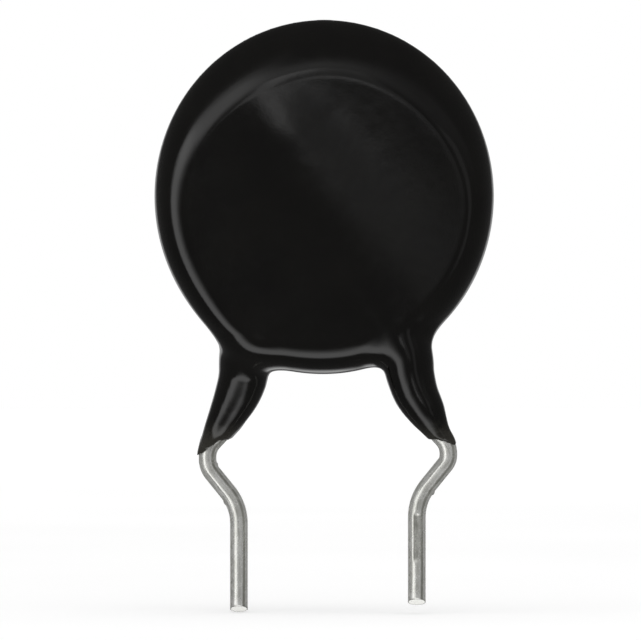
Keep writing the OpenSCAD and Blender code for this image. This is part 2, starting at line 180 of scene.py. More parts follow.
@dataclass(frozen=True)
class LeadForm:
    """Sizes of one formed lead, in millimetres and degrees, from the pin's end upwards."""

    side: Side
    drop: float
    kink_up: float
    low_r: float
    high_r: float
    pin_x: float = 3.9
    wire_r: float = 0.39
    lead_y: float = 1.24
    kink_out: float = 1.38
    kink_flat: float = 0.1
    lower_slope: float = 39.0
    lower_bend_r: float = 2.2
    upper_slope: float = 43.0
    upper_bend_r: float = 1.6
    rise_lean: float = 1.5
    lay_z: float = 7.3
    lay_lean: float = 33.0
    lay_bend_r: float = 2.6
    lay_len: float = 9.6

    def steps(self) -> list[tuple[float, float, float]]:
        """Works out the chain of straight stretches and bends.

        Returns:
            One entry for each stretch: its length, then its bend's radius and turn in degrees.
        """
        low, high = math.radians(self.lower_slope), math.radians(self.upper_slope)
        lean = math.radians(self.rise_lean)
        kink_x = self.pin_x + self.kink_out
        low_x = kink_x - self.low_r * (1 - math.cos(low))
        low_z = self.kink_up - self.kink_flat / 2 - self.low_r * math.sin(low)
        lower_len = (low_x - self.pin_x - self.lower_bend_r * (1 - math.cos(low))) / math.sin(low)
        pin_top = low_z - lower_len * math.cos(low) - self.lower_bend_r * math.sin(low)
        high_x = kink_x - self.high_r * (1 - math.cos(high))
        high_z = self.kink_up + self.kink_flat / 2 + self.high_r * math.sin(high)
        bend_x = self.upper_bend_r * (math.cos(lean) - math.cos(high))
        bend_z = self.upper_bend_r * (math.sin(high) - math.sin(lean))
        upper_len = (high_x - self.pin_x - bend_x) / math.sin(high)
        rise_foot = high_z + upper_len * math.cos(high) + bend_z
        rise_len = (self.lay_z - rise_foot) / math.cos(lean)
        return [
            (self.drop + pin_top, self.lower_bend_r, self.lower_slope),
            (lower_len, self.low_r, -self.lower_slope),
            (self.kink_flat, self.high_r, -self.upper_slope),
            (upper_len, self.upper_bend_r, self.upper_slope - self.rise_lean),
            (rise_len, self.lay_bend_r, self.rise_lean - self.lay_lean),
            (self.lay_len, 0.0, 0.0),
        ]

    def axis(self, spacing: float) -> tuple[np.ndarray, np.ndarray]:
        """Walks along the wire's axis from the pin's end to the end that is soldered to the disc.

        Args:
            spacing: Distance between two points, in millimetres.

        Returns:
            The points, and the wire's direction at each of them.
        """
        place = np.array([self.pin_x, -self.drop])
        angle = 0.0
        points: list[np.ndarray] = []
        angles: list[float] = []
        for length, radius, turn in self.steps():
            count = max(2, round(length / spacing))
            along = np.array([math.sin(angle), math.cos(angle)])
            for k in range(count):
                points.append(place + along * length * k / count)
                angles.append(angle)
            place = place + along * length
            if not turn:
                continue
            rad = math.radians(abs(turn))
            sign = math.copysign(1.0, turn)
            start = angle
            ahead = np.array([math.sin(start), math.cos(start)]) * radius
            aside = np.array([math.cos(start), -math.sin(start)]) * sign * radius
            count = max(3, round(radius * rad / spacing))
            for k in range(count):
                a = rad * k / count
                points.append(place + ahead * math.sin(a) + aside * (1 - math.cos(a)))
                angles.append(start + sign * a)
            place = place + ahead * math.sin(rad) + aside * (1 - math.cos(rad))
            angle = start + sign * rad
        points.append(place)
        angles.append(angle)
        flat = np.array(points)
        turn_at = np.array(angles)
        side = self.side.value
        xyz = np.column_stack([side * flat[:, 0], np.full(len(flat), -side * self.lead_y), flat[:, 1]])
        ways = np.column_stack([side * np.sin(turn_at), np.zeros(len(flat)), np.cos(turn_at)])
        return xyz, ways


@dataclass(frozen=True)
class LegForm:
    """Coating on one lead: where its middle runs and how thick it is, in millimetres and degrees.

    Below end_z the coat is cut off: with a slight slope of end_slope, and outside of cut_from with
    the steeper angle cut. The edge is ragged with two ripples, each given by its waves across, its
    waves from front to rear and its share of the side's own phase.
    """

    side: Side
    chains: tuple[tuple[Station, ...], ...]
    end_z: float
    film: float
    cut: float
    cut_from: float = -0.22
    end_slope: float = 0.1
    ripple: float = 0.015
    ripples: tuple[Point, Point] = ((13.0, 2.0, 1.0), (-5.0, 17.0, 0.0))
    parts: int = 5

    def run(self, stations: Sequence[Station]) -> np.ndarray:
        """Gives a smooth run of places and radii through some stations.

        Args:
            stations: Places and radii that it passes through.

        Returns:
            One row (x, y, z, radius) for each place.
        """
        knots = np.array(stations)
        knots = np.vstack([2 * knots[0] - knots[1], knots, 2 * knots[-1] - knots[-2]])
        rows = []
        for a, b, c, d in zip(knots, knots[1:], knots[2:], knots[3:]):
            for t in np.arange(self.parts) / self.parts:
                square = (2 * a - 5 * b + 4 * c - d) * t**2
                cube = (3 * b - a - 3 * c + d) * t**3
                rows.append(0.5 * (2 * b + (c - a) * t + square + cube))
        return np.array([*rows, knots[-2]])


@dataclass
class EpoxySkin:
    """The dipped coating: one skin over the disc and down both legs.

    Lengths are in millimetres, angles in degrees. side_t, top_t and bottom_t are the coat's
    thickness at the disc's edge. The rim curls from rim_in inside that edge, and top_in further in
    at the top. Names with melt or lip are widths over which two forms flow together, and names
    with span say where something sets in and where it is complete.
    """

    left: LeadForm
    right: LeadForm
    left_leg: LegForm
    right_leg: LegForm
    disc_x: float
    disc_z: float
    disc_r: float
    face_y: float
    side_t: float = 0.43
    top_t: float = 1.16
    bottom_t: float = 0.38
    rim_in: float = 1.05
    top_in: float = 0.35
    rim_curl: float = 2.5
    ridge_up: float = 0.18
    ridge_low: float = 1.25
    inner_high: float = 1.9
    outer_low: float = 3.6
    outer_high: float = 1.9
    end_high: float = 3.0
    swell_melt: float = 0.6
    swell_turn: float = 1.2
    knee: float = 0.15
    top_knee: float = 0.6
    top_span: Span = (0.1, 1.0)
    nose_round: float = 1.6
    nose_span: Span = (-0.1, 1.0)
    shoulder: float = 0.5
    shoulder_at: float = 149.0
    shoulder_wide: float = 17.0
    shoulder_rim: float = 0.4
    melt: float = 1.0
    face_melt: float = 0.3
    face_span: Span = (0.65, 1.95)
    bead_melt: float = 0.45
    film_span: Span = (-1.0, 1.6)
    film_lip: float = 0.2
    cut_lip: float = 0.05
    end_up: float = 1.8
    end_aside: float = 2.0
    end_below: float = 0.9
    leg_out: float = 0.75
    run_step: float = 0.1
    film_step: float = 0.12
    end_step: float = 0.05
    coat_up: float = 6.62
    air: float = 0.5
    pulls: int = 3
    spacing: float = 0.13
    runs: dict[Side, tuple[np.ndarray, np.ndarray]] = field(default_factory=dict)

    def __post_init__(self) -> None:
        """Keeps the line of each lead's soldered run, as seen from the front."""
        for lead in (self.left, self.right):
            points, ways = lead.axis(self.run_step)
            straight = np.flatnonzero(np.all(np.isclose(ways, ways[-1]), axis=1))
            self.runs[lead.side] = (points[straight[0]][[0, 2]], points[-1][[0, 2]])

    @staticmethod
    def along(points: np.ndarray, a: np.ndarray, b: np.ndarray) -> tuple[np.ndarray, np.ndarray]:
        """Gives each point's nearest place on the line from a to b, from 0 to 1, and its distance."""
        t = np.clip(((points - a) @ (b - a)) / ((b - a) @ (b - a)), 0.0, 1.0)
        return t, np.linalg.norm(points - a - t[:, None] * (b - a), axis=1)

    def swelling(self, flat: np.ndarray, side: Side) -> np.ndarray:
        """Gives how much a face swells over its lead.

        Args:
            flat: Points as (x, z) rows.
            side: The lead that lies on this face.

        Returns:
            The swelling at each point, in millimetres.
        """
        foot, end = self.runs[side]
        leg = np.array([side.value * self.left.pin_x, self.coat_up])
        t, _ = self.along(flat, foot, end)
        length = np.linalg.norm(end - foot)
        way = (end - foot) / length
        outward = side.value * ((flat - foot) @ np.array([way[1], -way[0]]))
        inner = self.ridge_low + t * (self.inner_high - self.ridge_low)
        outer = self.outer_low + t * (self.outer_high - self.outer_low)
        turn = smoothstep(-self.swell_turn, self.swell_turn, outward)
        across = outward / (inner + turn * (outer - inner))
        ahead = (flat - foot) @ way
        beyond = np.maximum(ahead - length, 0.0) / self.end_high
        before = np.minimum(ahead, 0.0) / self.ridge_low
        run_gap = np.sqrt(across**2 + beyond**2 + before**2)
        _, leg_gap = self.along(flat, leg, foot)
        gap = melted(run_gap, leg_gap / self.ridge_low, self.swell_melt)
        return self.ridge_up * np.exp(-np.maximum(gap, 0.0) ** 2)

    def coated_disc(self, p: np.ndarray) -> np.ndarray:
        """Field of the coated disc: flat faces, and an elliptic rim that is thickest at the top.

        Args:
            p: Points, one row each.

        Returns:
            The field at each point, negative inside.
        """
        flat = p[:, [0, 2]]
        front, rear = self.swelling(flat, Side.RIGHT), self.swelling(flat, Side.LEFT)
        half = self.face_y + np.where(p[:, 1] < 0, front, rear)
        q = flat - [self.disc_x, self.disc_z]
        r = np.linalg.norm(q, axis=1)
        s = np.divide(q[:, 1], r, out=np.zeros_like(r), where=r > 0)
        rim = self.disc_r + self.side_t + s * (self.top_t - self.bottom_t) / 2
        rim = rim + s * s * ((self.top_t + self.bottom_t) / 2 - self.side_t)
        nose = smoothstep(*self.nose_span, s)
        at = math.radians(self.shoulder_at)
        way = np.array([-math.sin(at), math.cos(at)])
        toward = np.divide(q @ way, r, out=np.zeros_like(r), where=r > 0)
        lobe = np.exp((toward - 1.0) * 2.0 / math.radians(self.shoulder_wide) ** 2)
        lobe = lobe * self.shoulder * smoothstep(-self.face_y / 2, self.face_y / 2, -p[:, 1])
        soft = smoothstep(*self.top_span, s)
        knee = self.knee * (1.0 + self.top_knee * soft)
        flat_r = self.disc_r - self.rim_in - self.top_in * soft + lobe
        rim = rim + self.shoulder_rim * lobe
        u = np.maximum(0.0, r - flat_r) / (rim - flat_r)
        v = np.abs(p[:, 1]) / half
        bend = (np.sqrt(u**2 + knee**2) - knee) / (np.sqrt(1 + knee**2) - knee)
        fall = u**self.rim_curl + nose * (bend - u**self.rim_curl)
        return (np.sqrt(fall + v ** (2.0 + nose * (self.nose_round - 2.0))) - 1.0) * half

    def coated_leg(self, p: np.ndarray, leg: LegForm) -> np.ndarray:
        """Field of one leg: tapering beads from inside the disc to the leg's end.

        Args:
            p: Points, one row each.
            leg: The leg's form.

        Returns:
            The field at each point, negative inside.
        """
        least = np.full(len(p), np.inf)
        for stations in leg.chains:
            chain = leg.run(stations)
            nearest = np.full(len(p), np.inf)
            for start, stop in zip(chain, chain[1:]):
                t, gap = self.along(p, start[:3], stop[:3])
                nearest = np.minimum(nearest, gap - start[3] - t * (stop[3] - start[3]))
            least = melted(least, nearest, self.bead_melt)
        return least

    def wire_film(self, p: np.ndarray, lead: LeadForm, leg: LegForm) -> np.ndarray:
        """Field of the thin coat that clings to the wire at a leg's end.

        Args:
            p: Points, one row each.
            lead: The wire's form.
            leg: The leg's form.

        Returns:
            The field at each point, negative inside.
        """
        points, _ = lead.axis(self.film_step)
        up = points[:, 2] - leg.end_z
        near = points[(up > self.film_span[0]) & (up < self.film_span[1])]
        gap = np.min([self.along(p, a, b)[1] for a, b in zip(near, near[1:])], axis=0)
        return gap - lead.wire_r - leg.film

    def below_leg(self, p: np.ndarray, lead: LeadForm, leg: LegForm) -> np.ndarray:
        """Field of what lies below a leg's ragged end.

        Args:
            p: Points, one row each.
            lead: The wire's form.
            leg: The leg's form.

        Returns:
            The field at each point, positive below the end.
        """
        side = leg.side.value
        points, _ = lead.axis(self.end_step)
        high = points[np.argmin(np.abs(points[:, 2] - leg.end_z))]
        out = (p[:, 0] - high[0]) * side
        back = p[:, 1] - high[1]
        steep = np.maximum(out - leg.cut_from, 0.0) * math.tan(math.radians(leg.cut))
        edge = leg.end_z - leg.end_slope * out - steep
        for across, deep, phase in leg.ripples:
            edge = edge + leg.ripple * np.sin(across * out + deep * back + phase * side)
        return edge - p[:, 2]

    def field(self, p: np.ndarray) -> np.ndarray:
        """Gives the skin's field: negative inside, zero on the surface.

        Args:
            p: Points in millimetres, one row each.

        Returns:
            About the distance to the surface at each point.
        """
        body = self.coated_disc(p)
        on_face = smoothstep(self.face_y / 2, self.face_y, np.abs(p[:, 1]))
        on_face = on_face * smoothstep(*self.face_span, p[:, 2] - self.coat_up)
        width = self.melt + (self.face_melt - self.melt) * on_face
        for leg in (self.right_leg, self.left_leg):
            body = melted(body, self.coated_leg(p, leg), width)
        for lead, leg in ((self.right, self.right_leg), (self.left, self.left_leg)):
            low = (p[:, 2] < leg.end_z + self.end_up) & (p[:, 0] * leg.side.value > self.end_aside)
            q = p[low]
            clung = melted(body[low], self.wire_film(q, lead, leg), self.film_lip)
            body[low] = -melted(-clung, -self.below_leg(q, lead, leg), self.cut_lip)
        return body

    def pulled(self, p: np.ndarray, times: int) -> np.ndarray:
        """Moves points onto the surface along the field's slope.

        Args:
            p: Points near the surface.
            times: How many times they are moved.

        Returns:
            The moved points.
        """
        reach, least_slope = 0.004, 0.2
        for _ in range(times):
            f = self.field(p)
            rise = [self.field(p + reach * axis) - self.field(p - reach * axis) for axis in np.eye(3)]
            slope = np.column_stack(rise) / (2 * reach)
            step = slope * (f / np.maximum((slope**2).sum(1), least_slope))[:, None]
            p = p - np.clip(step, -self.spacing, self.spacing)
        return p

    def net(self) -> tuple[np.ndarray, np.ndarray]:
        """Nets the surface on a grid: a vertex in each crossed cell, a quad round each crossed edge.

        Returns:
            The vertices, and the quads as rows of four vertex numbers.
        """
        wide = self.disc_r + self.side_t + self.air
        deep = self.left.lead_y + self.left.wire_r + self.leg_out + self.air
        foot = min(self.left_leg.end_z, self.right_leg.end_z) - self.end_below
        low = np.array([self.disc_x - wide, -deep, foot])
        top = self.disc_z + self.disc_r + self.top_t + self.air
        high = np.array([self.disc_x + wide, deep, top])
        size = np.ceil((high - low) / self.spacing).astype(int) + 1
        axes = [low[i] + self.spacing * np.arange(size[i]) for i in range(3)]
        grid = np.stack(np.meshgrid(*axes, indexing="ij"), axis=-1)
        values = self.field(grid.reshape(-1, 3)).reshape(size)
        inside = values < 0
        corners = np.lib.stride_tricks.sliding_window_view(inside, (2, 2, 2)).sum(axis=(3, 4, 5))
        crossed = (corners > 0) & (corners < 8)
        number = np.full(crossed.shape, -1)
        number[crossed] = np.arange(crossed.sum())
        cells = np.argwhere(crossed)
        total = np.zeros((len(cells), 3))
        hits = np.zeros(len(cells))
        for axis in range(3):
            others = [a for a in range(3) if a != axis]
            for shift in ((0, 0), (0, 1), (1, 0), (1, 1)):
                a = cells.copy()
                a[:, others] += shift
                b = a.copy()
                b[:, axis] += 1
                start, stop = tuple(a.T), tuple(b.T)
                from_value, to_value = values[start], values[stop]
                cut = (from_value < 0) != (to_value < 0)
                t = np.where(cut, from_value / np.where(cut, from_value - to_value, 1.0), 0.0)
                place = grid[start] + (grid[stop] - grid[start]) * t[:, None]
                total += np.where(cut[:, None], place, 0.0)
                hits += cut
        vertices = self.pulled(total / hits[:, None], self.pulls)
        quads = []
        for axis in range(3):
            others = [(axis + 1) % 3, (axis + 2) % 3]
            a = inside[tuple(slice(0, -1) if i == axis else slice(1, -1) for i in range(3))]
            b = inside[tuple(slice(1, None) if i == axis else slice(1, -1) for i in range(3))]
            edges = np.argwhere(a != b)
            around = []
            for shift in ((0, 1), (1, 1), (1, 0), (0, 0)):
                cell = edges.copy()
                cell[:, others] += shift
                around.append(number[tuple(cell.T)])
            quad = np.stack(around, axis=1)
            quads.append(np.where(a[tuple(edges.T)][:, None], quad, quad[:, ::-1]))
        return vertices, np.concatenate(quads)

    def build(self) -> bpy.types.Object:
        """Makes the skin's mesh in place of the CAD coating.

        Returns:
            The skin.
        """
        vertices, quads = self.net()
        skin = make_mesh("epoxy_skin", vertices, quads)
        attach(skin, ROOT_BODY)
        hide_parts("epoxy_coating")
        return skin


@dataclass(frozen=True)
class ToolMark:
    """A flat pressed into the wire by the forming tool, or, with a negative depth, a burr.

    Its middle is at so many millimetres from the pin's end. It faces the front at 0 degrees.
    """

    at: float
    half_length: float
    facing: float
    depth: float
    edge: float = 0.05


@dataclass
class TinnedLead:
    """One formed lead of tinned copper wire, with a sheared end and the marks of its forming."""

    form: LeadForm
    name: str
    node: str
    marks: tuple[ToolMark, ...] = ()
    sharp: float = 0.1
    burr_wide: float = 0.35
    least_cos: float = 0.2
    shear: float = 20.0
    shear_fade: float = 1.2
    end_share: float = 0.9
    around: int = 56
    spacing: float = 0.07

    def relief(self, run: np.ndarray, angle: np.ndarray) -> tuple[np.ndarray, np.ndarray]:
        """Presses the tool's marks into the round wire.

        Args:
            run: Each ring's place along the wire.
            angle: Each point's direction round the wire.

        Returns:
            The radius at each point of each ring, and where the wire is pressed.
        """
        wire_r = self.form.wire_r
        radius = np.full((len(run), self.around), wire_r)
        worn = np.zeros_like(radius)
        for mark in self.marks:
            facing = math.radians(mark.facing)
            turn = np.abs((angle - facing + math.pi) % (2 * math.pi) - math.pi)
            inner, outer = mark.half_length - mark.edge, mark.half_length + mark.edge
            reach = 1.0 - smoothstep(inner, outer, np.abs(run - mark.at))[:, None]
            if mark.depth > 0:
                flat = (wire_r - mark.depth) / np.maximum(np.cos(turn), self.least_cos)
                pressed = np.minimum(wire_r, flat)
                if mark.edge < self.sharp:
                    worn = np.maximum(worn, reach * (pressed < wire_r))
                radius = radius + (np.minimum(radius, pressed) - radius) * reach
            else:
                bump = np.exp(-((turn / self.burr_wide) ** 2))
                radius = radius - mark.depth * bump * reach
        return radius, worn

    def build(self) -> bpy.types.Object:
        """Sweeps the wire along its axis in place of the CAD lead.

        Returns:
            The lead.
        """
        points, ways = self.form.axis(self.spacing)
        gaps = np.linalg.norm(np.diff(points, axis=0), axis=1)
        run = np.concatenate([[0.0], np.cumsum(gaps)])
        angle = np.linspace(0.0, 2 * math.pi, self.around, endpoint=False)
        front = np.array([0.0, -1.0, 0.0])
        right = np.cross(ways, front)
        right /= np.linalg.norm(right, axis=1)[:, None]
        radius, worn = self.relief(run, angle)
        across = np.sin(angle)[:, None] * right[:, None]
        ahead = np.cos(angle)[:, None] * front
        rings = points[:, None] + radius[:, :, None] * (across + ahead)
        tilt = self.form.wire_r * (1.0 + np.cos(angle)) * math.tan(math.radians(self.shear))
        fade = 1.0 - smoothstep(0.0, self.shear_fade, run)
        rings[:, :, 2] += fade[:, None] * tilt
        vertices = rings.reshape(-1, 3)
        body = len(vertices)
        count = self.around
        faces: list[list[int]] = []
        for ring in range(len(points) - 1):
            for k in range(count):
                a, b = ring * count + k, ring * count + (k + 1) % count
                faces.append([a, b, b + count, a + count])
        for ring in (0, len(points) - 1):
            centre = rings[ring].mean(0)
            base = len(vertices)
            inner = centre + (rings[ring] - centre) * self.end_share
            vertices = np.vstack([vertices, inner, centre])
            tip = base + count
            for k in range(count):
                a, b = ring * count + k, ring * count + (k + 1) % count
                c, d = base + (k + 1) % count, base + k
                faces.append([a, d, c, b] if ring == 0 else [a, b, c, d])
                faces.append([d, tip, c] if ring == 0 else [d, c, tip])
        lead = make_mesh(self.name, vertices, faces)
        strand = np.zeros((len(vertices), 3))
        strand[:body, 0] = np.tile(np.cos(angle), len(points))
        strand[:body, 1] = np.tile(np.sin(angle), len(points))
        strand[:body, 2] = np.repeat(run, count)
        pressed = np.zeros(len(vertices))
        pressed[:body] = worn.reshape(-1)
        for name, kind, key, values in (
            ("strand", "FLOAT_VECTOR", "vector", strand),
            ("pressed", "FLOAT", "value", pressed),
        ):
            layer = lead.data.attributes.new(name, kind, "POINT")
            layer.data.foreach_set(key, values.reshape(-1))
        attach(lead, ROOT_BODY)
        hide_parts(self.node)
        return lead


class NodeWork:
    """Adds nodes to a material's or the world's tree."""

    def __init__(self, tree: bpy.types.NodeTree) -> None:
        """Keeps the tree."""
        self.tree = tree

    def node(self, kind: str, **values: object) -> bpy.types.Node:
        """Adds a node.

        Args:
            kind: The node's type name without ShaderNode, which all of them start with.
            **values: Properties of the node, such as its operation.

        Returns:
            The node.
        """
        made = self.tree.nodes.new("ShaderNode" + kind)
        for key, value in values.items():
            setattr(made, key, value)
        return made

    def link(self, value: "Socket | float", target: Socket) -> None:
        """Links an output to an input, or sets the input to a number.

        Args:
            value: The output or the number.
            target: The input.
        """
        if isinstance(value, Socket):
            self.tree.links.new(value, target)
        else:
            target.default_value = value

    def math(self, operation: str, *values: "Socket | float") -> Socket:
        """Adds a Math node.

        Args:
            operation: What it works out.
            *values: Its inputs, each a socket or a number.

        Returns:
            The result.
        """
        made = self.node("Math", operation=operation)
        for target, value in zip(made.inputs, values):
            self.link(value, target)
        return made.outputs[0]

    def step(
        self, value: Socket, span: Span, start: float = 0.0, stop: float = 1.0, kind: str = "SMOOTHSTEP"
    ) -> Socket:
        """Goes from one number to another while a value passes a span.

        Args:
            value: The value.
            span: Where the step starts and where it is complete.
            start: Result before the span.
            stop: Result after it.
            kind: How it goes between them.

        Returns:
            The result.
        """
        made = self.node("MapRange", interpolation_type=kind)
        for name, number in zip(("From Min", "From Max", "To Min", "To Max"), (*span, start, stop)):
            made.inputs[name].default_value = number
        self.link(value, made.inputs["Value"])
        return made.outputs["Result"]

    def band(self, value: Socket, rise: Span, fall: Span, high: float = 1.0, rest: float = 0.0) -> Socket:
        """Goes up to high while a value passes rise, and down to its share rest as it passes fall."""
        up, down = self.step(value, rise, 0.0, high), self.step(value, fall, 1.0, rest)
        return self.math("MULTIPLY", up, down)


class Shader(NodeWork):
    """Builds one material's nodes."""

    def __init__(self, name: str) -> None:
        """Starts a material with a Principled BSDF.

        Args:
            name: The material's name.
        """
        self.material = bpy.data.materials.new(name)
        self.material.use_nodes = True
        super().__init__(self.material.node_tree)
        self.surface = self.tree.nodes["Principled BSDF"]

    def place(self, stretch: Point = (1.0, 1.0, 1.0), attribute: str = "") -> Socket:
        """Gives coordinates in millimetres, stretched by a factor along each axis.

        Args:
            stretch: Factor along each axis.
            attribute: Name of a mesh attribute to read instead of the object's own coordinates.

        Returns:
            The vector output.
        """
        scale = self.node("Mapping")
        if attribute:
            source = self.node("Attribute", attribute_name=attribute).outputs["Vector"]
            scale.inputs["Scale"].default_value = stretch
        else:
            source = self.node("TexCoord").outputs["Object"]
            scale.inputs["Scale"].default_value = tuple(s / MM for s in stretch)
        self.link(source, scale.inputs["Vector"])
        return scale.outputs["Vector"]

    def noise(self, vector: Socket, scale: float, detail: float = 3.0, rough: float = 0.5) -> Socket:
        """Adds a noise texture.

        Args:
            vector: Coordinates.
            scale: Waves per unit of the coordinates.
            detail: Number of finer layers.
            rough: How strong the finer layers are.

        Returns:
            The noise, about 0.5 on average.
        """
        made = self.node("TexNoise")
        values = (vector, scale, detail, rough)
        for name, value in zip(("Vector", "Scale", "Detail", "Roughness"), values):
            self.link(value, made.inputs[name])
        return made.outputs["Fac"]

    def ramp(self, value: Socket, places: Sequence[float], colors: Sequence[Color]) -> Socket:
        """Turns a value into a colour.

        Args:
            value: Value from 0 to 1.
            places: Where each colour is reached.
            colors: The colours.

        Returns:
            The colour output.
        """
        made = self.node("ValToRGB")
        elements = made.color_ramp.elements
        for _ in range(len(places) - 2):
            elements.new(0.5)
        for element, at, color in zip(elements, places, colors):
            element.position = at
            element.color = (*color, 1.0)
        self.link(value, made.inputs["Fac"])
        return made.outputs["Color"]

    def spread(self, value: Socket, low: float, high: float) -> Socket:
        """Maps the middle of a noise evenly onto the range from low to high."""
        return self.step(value, NOISE_SPAN, low, high, "LINEAR")

    def bump(self, height: Socket, depth: float, before: Socket | None = None) -> Socket:
        """Bumps the surface.

        Args:
            height: Height from 0 to 1.
            depth: Height of 1, in millimetres.
            before: Normal to start from, if another bump comes first.

        Returns:
            The bumped normal.
        """
        made = self.node("Bump")
        made.inputs["Distance"].default_value = depth * MM
        self.link(height, made.inputs["Height"])
        if before is not None:
            self.link(before, made.inputs["Normal"])
        return made.outputs["Normal"]

    def set(self, **values: "Socket | float") -> None:
        """Sets the surface's own sockets, whose names are written with underscores for spaces."""
        for key, value in values.items():
            self.link(value, self.surface.inputs[key.replace("_", " ")])

    def wear(self, piece: bpy.types.Object) -> None:
        """Puts the material on a piece."""
        piece.data.materials.clear()
        piece.data.materials.append(self.material)


@dataclass(frozen=True)
class EpoxyFinish:
    """Black epoxy, dipped and cured: smooth and semi-gloss, with a faint flow texture.

    Patterns are in waves per millimetre, depths in millimetres. Up to the heights of film_span the
    coat is a thin, lighter film, with a border that specks make ragged.
    """

    dark: Color = (0.0026, 0.0023, 0.0020)
    light: Color = (0.0044, 0.0040, 0.0033)
    cloud: float = 0.45
    cloud_span: Span = (0.35, 0.7)
    film: Color = (0.036, 0.034, 0.028)
    film_span: Span = (3.9, 5.3)
    speck: float = 5.0
    speck_high: float = 1.1
    roughness: Span = (0.1, 0.15)
    smudge: float = 2.2
    flow: float = 0.9
    flow_depth: float = 0.007
    grain: float = 14.0
    grain_depth: float = 0.0012
    index: float = 1.5

    def material(self) -> Shader:
        """Builds the material.

        Returns:
            The material's nodes.
        """
        shader = Shader("black_epoxy")
        place = shader.place()
        cloud = shader.noise(place, self.cloud, 4.0)
        coat = shader.ramp(cloud, self.cloud_span, (self.dark, self.light))
        split = shader.node("SeparateXYZ")
        shader.link(place, split.inputs[0])
        speck = shader.noise(place, self.speck, 4.0, 0.7)
        height = shader.math("MULTIPLY_ADD", speck, self.speck_high, split.outputs[2])
        film = shader.node("Mix", data_type="RGBA")
        shader.link(shader.step(height, self.film_span, 1.0, 0.0), film.inputs["Factor"])
        shader.link(coat, film.inputs[6])
        film.inputs[7].default_value = (*self.film, 1.0)
        wave = shader.bump(shader.noise(place, self.flow, 2.0, 0.4), self.flow_depth)
        shader.set(
            Base_Color=film.outputs[2],
            Roughness=shader.spread(shader.noise(place, self.smudge, 5.0, 0.6), *self.roughness),
            Normal=shader.bump(shader.noise(place, self.grain, 3.0, 0.6), self.grain_depth, wave),
            IOR=self.index,
        )
        return shader


@dataclass(frozen=True)
class TinFinish:
    """Tin-plated copper wire: drawn lines along it, dull patches and a few fine scratches.

    A painted shade and a painted highlight run along the side of the wire that faces right as seen
    from the front, where its reflections are darker and lighter; each is given by where it starts and
    where it ends between the wire's middle, 0, and its side, 1.
    """

    bright: Color = (0.96, 0.96, 0.93)
    dull: Color = (0.70, 0.70, 0.65)
    worn: Color = (0.38, 0.38, 0.34)
    tones: Sequence[float] = (0.26, 0.42, 0.6)
    line_share: float = 0.6
    patch_share: float = 0.4
    # Painted shade and painted highlight: fixed bands by the wire's facing, standing in for its
    # reflections.
    painted_shade_band: tuple[Span, Span] = ((0.38, 0.5), (0.6, 0.74))
    painted_shade: float = 0.16
    painted_highlight_band: tuple[Span, Span] = ((0.2, 0.3), (0.36, 0.44))
    painted_highlight: float = 0.1
    press_shade: float = 0.12
    roughness: Span = (0.22, 0.32)
    metallic: float = 0.66
    line_depth: float = 0.006
    pit_depth: float = 0.0006

    def material(self) -> Shader:
        """Builds the material.

        Returns:
            The material's nodes.
        """
        shader = Shader("tinned_copper")
        line = shader.noise(shader.place((4.0, 4.0, 0.1), "strand"), 2.2, 4.0, 0.65)
        patch = shader.noise(shader.place((1.0, 1.0, 1.3), "strand"), 1.6, 4.0, 0.6)
        strand = shader.node("Attribute", attribute_name="strand")
        split = shader.node("SeparateXYZ")
        shader.link(strand.outputs["Vector"], split.inputs[0])
        across = split.outputs[1]
        # Painted shade and painted highlight: the tone is lowered and raised in bands set by which way
        # the wire faces, not by any mark on the tin.
        dark = shader.band(across, *self.painted_shade_band, self.painted_shade)
        bright = shader.band(across, *self.painted_highlight_band, self.painted_highlight)
        pressed = shader.node("Attribute", attribute_name="pressed").outputs["Fac"]
        tone = shader.math("MULTIPLY", patch, self.patch_share)
        tone = shader.math("MULTIPLY_ADD", line, self.line_share, tone)
        tone = shader.math("ADD", shader.math("SUBTRACT", tone, dark), bright)
        tone = shader.math("SUBTRACT", tone, shader.math("MULTIPLY", pressed, self.press_shade))
        drawn = shader.bump(line, self.line_depth)
        shader.set(
            Base_Color=shader.ramp(tone, self.tones, (self.worn, self.dull, self.bright)),
            Roughness=shader.spread(patch, *self.roughness),
            Normal=shader.bump(shader.noise(shader.place(), 6.0), self.pit_depth, drawn),
            Metallic=self.metallic,
        )
        return shader


@dataclass(frozen=True)
class GrainFinish:
    """A plain surface with a grain, for what the skin hides."""

    name: str
    dark: Color
    light: Color
    roughness: Span
    grain: float
    depth: float
    metallic: float = 0.0

    def material(self) -> Shader:
        """Builds the material.

        Returns:
            The material's nodes.
        """
        shader = Shader(self.name)
        grain = shader.noise(shader.place(), self.grain, 4.0, 0.6)
        shader.set(
            Base_Color=shader.ramp(grain, NOISE_SPAN, (self.dark, self.light)),
            Roughness=shader.spread(grain, *self.roughness),
            Normal=shader.bump(grain, self.depth),
            Metallic=self.metallic,
        )
        return shader


